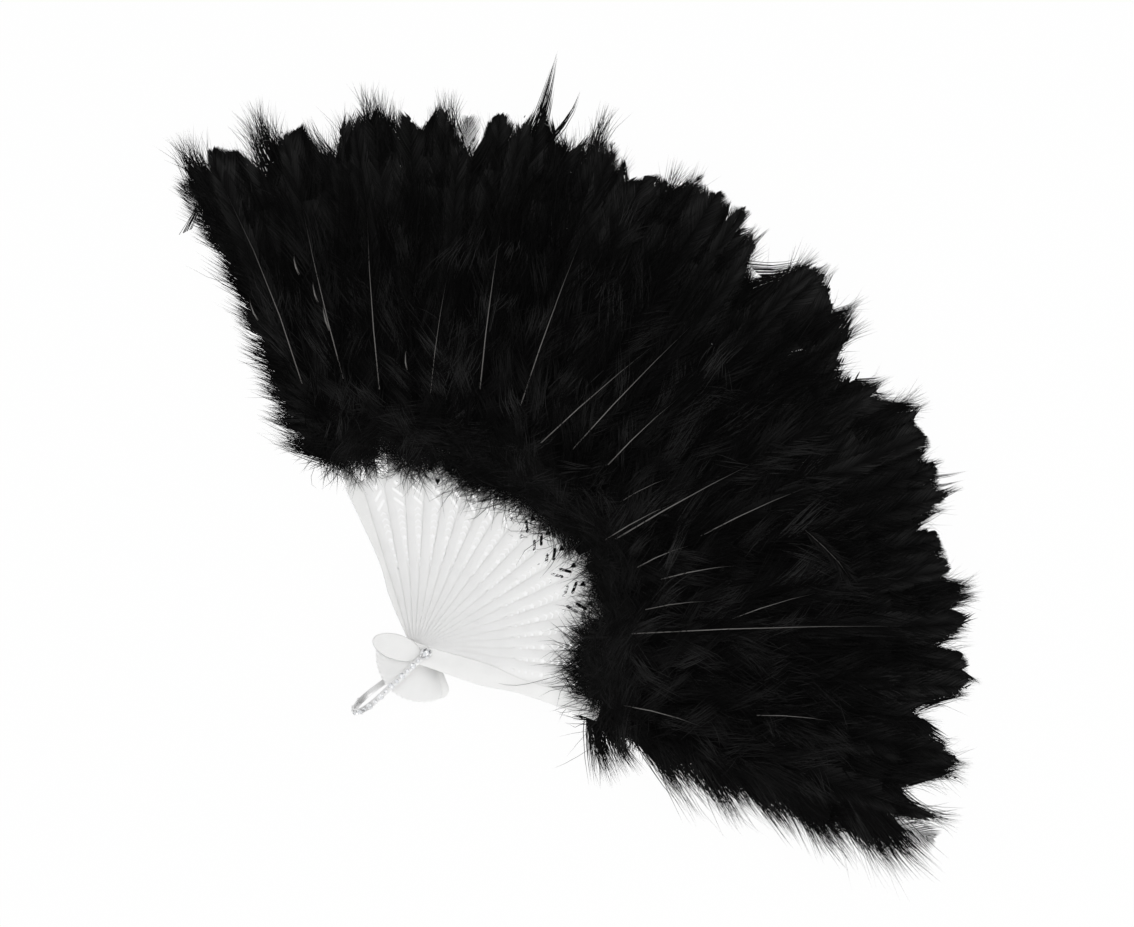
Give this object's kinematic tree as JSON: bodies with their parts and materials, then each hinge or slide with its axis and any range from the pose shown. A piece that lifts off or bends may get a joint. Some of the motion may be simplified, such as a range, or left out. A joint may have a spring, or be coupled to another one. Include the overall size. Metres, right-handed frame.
{
  "type": "folding feather fan",
  "caption": "Folding hand fan of pierced plastic sticks and plain guards turning on one rivet, each carrying a plume of feathers, with a studded metal bail at the pivot.",
  "frame": {"origin": "on the rivet's axis, at the flat outer face of its rear head", "axes": "+X across the open fan, +Y along the middle of the open fan away from the pivot, +Z along the rivet towards the front guard"},
  "size_m": [0.4324, 0.2735, 0.0293],
  "materials": {
    "stick_plastic": "moulded, semi-gloss",
    "guard_plastic": "moulded, glossy",
    "feather": "dyed black feather",
    "silver": "plated, bright",
    "crystal": "faceted"
  },
  "bodies": {
    "rear_guard": {"rear_guard": "guard_plastic", "plume_rear_guard": "feather", "pivot_rivet": "silver", "rivet_setting": "silver", "rivet_stone": "crystal"},
    "stick_01": {"stick_01": "stick_plastic", "plume_01": "feather"},
    "stick_02": {"stick_02": "stick_plastic", "plume_02": "feather"},
    "stick_03": {"stick_03": "stick_plastic", "plume_03": "feather"},
    "stick_04": {"stick_04": "stick_plastic", "plume_04": "feather"},
    "stick_05": {"stick_05": "stick_plastic", "plume_05": "feather"},
    "stick_06": {"stick_06": "stick_plastic", "plume_06": "feather"},
    "stick_07": {"stick_07": "stick_plastic", "plume_07": "feather"},
    "stick_08": {"stick_08": "stick_plastic", "plume_08": "feather"},
    "stick_09": {"stick_09": "stick_plastic", "plume_09": "feather"},
    "stick_10": {"stick_10": "stick_plastic", "plume_10": "feather"},
    "stick_11": {"stick_11": "stick_plastic", "plume_11": "feather"},
    "stick_12": {"stick_12": "stick_plastic", "plume_12": "feather"},
    "stick_13": {"stick_13": "stick_plastic", "plume_13": "feather"},
    "stick_14": {"stick_14": "stick_plastic", "plume_14": "feather"},
    "stick_15": {"stick_15": "stick_plastic", "plume_15": "feather"},
    "stick_16": {"stick_16": "stick_plastic", "plume_16": "feather"},
    "stick_17": {"stick_17": "stick_plastic", "plume_17": "feather"},
    "stick_18": {"stick_18": "stick_plastic", "plume_18": "feather"},
    "front_guard": {"front_guard": "guard_plastic", "plume_front_guard": "feather"},
    "bail": {"bail": "silver"}
  },
  "joints": [
    {"name": "fold", "type": "hinge", "parent": "rear_guard", "child": "front_guard", "pos_m": [0, 0, 0], "axis": [0, 0, 1], "range_deg": [0, 130]},
    {"name": "fold_01", "type": "hinge", "parent": "rear_guard", "child": "stick_01", "pos_m": [0, 0, 0], "axis": [0, 0, 1], "range_deg": [-0.5, 7.34]},
    {"name": "fold_02", "type": "hinge", "parent": "rear_guard", "child": "stick_02", "pos_m": [0, 0, 0], "axis": [0, 0, 1], "range_deg": [-0.5, 14.18]},
    {"name": "fold_03", "type": "hinge", "parent": "rear_guard", "child": "stick_03", "pos_m": [0, 0, 0], "axis": [0, 0, 1], "range_deg": [-0.5, 21.03]},
    {"name": "fold_04", "type": "hinge", "parent": "rear_guard", "child": "stick_04", "pos_m": [0, 0, 0], "axis": [0, 0, 1], "range_deg": [-0.5, 27.87]},
    {"name": "fold_05", "type": "hinge", "parent": "rear_guard", "child": "stick_05", "pos_m": [0, 0, 0], "axis": [0, 0, 1], "range_deg": [-0.5, 34.71]},
    {"name": "fold_06", "type": "hinge", "parent": "rear_guard", "child": "stick_06", "pos_m": [0, 0, 0], "axis": [0, 0, 1], "range_deg": [-0.5, 41.55]},
    {"name": "fold_07", "type": "hinge", "parent": "rear_guard", "child": "stick_07", "pos_m": [0, 0, 0], "axis": [0, 0, 1], "range_deg": [-0.5, 48.4]},
    {"name": "fold_08", "type": "hinge", "parent": "rear_guard", "child": "stick_08", "pos_m": [0, 0, 0], "axis": [0, 0, 1], "range_deg": [-0.5, 55.24]},
    {"name": "fold_09", "type": "hinge", "parent": "rear_guard", "child": "stick_09", "pos_m": [0, 0, 0], "axis": [0, 0, 1], "range_deg": [-0.5, 62.08]},
    {"name": "fold_10", "type": "hinge", "parent": "rear_guard", "child": "stick_10", "pos_m": [0, 0, 0], "axis": [0, 0, 1], "range_deg": [-0.5, 68.92]},
    {"name": "fold_11", "type": "hinge", "parent": "rear_guard", "child": "stick_11", "pos_m": [0, 0, 0], "axis": [0, 0, 1], "range_deg": [-0.5, 75.76]},
    {"name": "fold_12", "type": "hinge", "parent": "rear_guard", "child": "stick_12", "pos_m": [0, 0, 0], "axis": [0, 0, 1], "range_deg": [-0.5, 82.61]},
    {"name": "fold_13", "type": "hinge", "parent": "rear_guard", "child": "stick_13", "pos_m": [0, 0, 0], "axis": [0, 0, 1], "range_deg": [-0.5, 89.45]},
    {"name": "fold_14", "type": "hinge", "parent": "rear_guard", "child": "stick_14", "pos_m": [0, 0, 0], "axis": [0, 0, 1], "range_deg": [-0.5, 96.29]},
    {"name": "fold_15", "type": "hinge", "parent": "rear_guard", "child": "stick_15", "pos_m": [0, 0, 0], "axis": [0, 0, 1], "range_deg": [-0.5, 103.13]},
    {"name": "fold_16", "type": "hinge", "parent": "rear_guard", "child": "stick_16", "pos_m": [0, 0, 0], "axis": [0, 0, 1], "range_deg": [-0.5, 109.97]},
    {"name": "fold_17", "type": "hinge", "parent": "rear_guard", "child": "stick_17", "pos_m": [0, 0, 0], "axis": [0, 0, 1], "range_deg": [-0.5, 116.82]},
    {"name": "fold_18", "type": "hinge", "parent": "rear_guard", "child": "stick_18", "pos_m": [0, 0, 0], "axis": [0, 0, 1], "range_deg": [-0.5, 123.66]},
    {"name": "bail_swing", "type": "hinge", "parent": "rear_guard", "child": "bail", "pos_m": [0, 0, 0], "axis": [0, 0, 1], "range_deg": [-80, 100]}
  ],
  "couplings": [
    {"joint": "fold_01", "follows": "fold", "ratio": 0.052632},
    {"joint": "fold_02", "follows": "fold", "ratio": 0.10526},
    {"joint": "fold_03", "follows": "fold", "ratio": 0.15789},
    {"joint": "fold_04", "follows": "fold", "ratio": 0.21053},
    {"joint": "fold_05", "follows": "fold", "ratio": 0.26316},
    {"joint": "fold_06", "follows": "fold", "ratio": 0.31579},
    {"joint": "fold_07", "follows": "fold", "ratio": 0.36842},
    {"joint": "fold_08", "follows": "fold", "ratio": 0.42105},
    {"joint": "fold_09", "follows": "fold", "ratio": 0.47368},
    {"joint": "fold_10", "follows": "fold", "ratio": 0.52632},
    {"joint": "fold_11", "follows": "fold", "ratio": 0.57895},
    {"joint": "fold_12", "follows": "fold", "ratio": 0.63158},
    {"joint": "fold_13", "follows": "fold", "ratio": 0.68421},
    {"joint": "fold_14", "follows": "fold", "ratio": 0.73684},
    {"joint": "fold_15", "follows": "fold", "ratio": 0.78947},
    {"joint": "fold_16", "follows": "fold", "ratio": 0.84211},
    {"joint": "fold_17", "follows": "fold", "ratio": 0.89474},
    {"joint": "fold_18", "follows": "fold", "ratio": 0.94737}
  ]
}
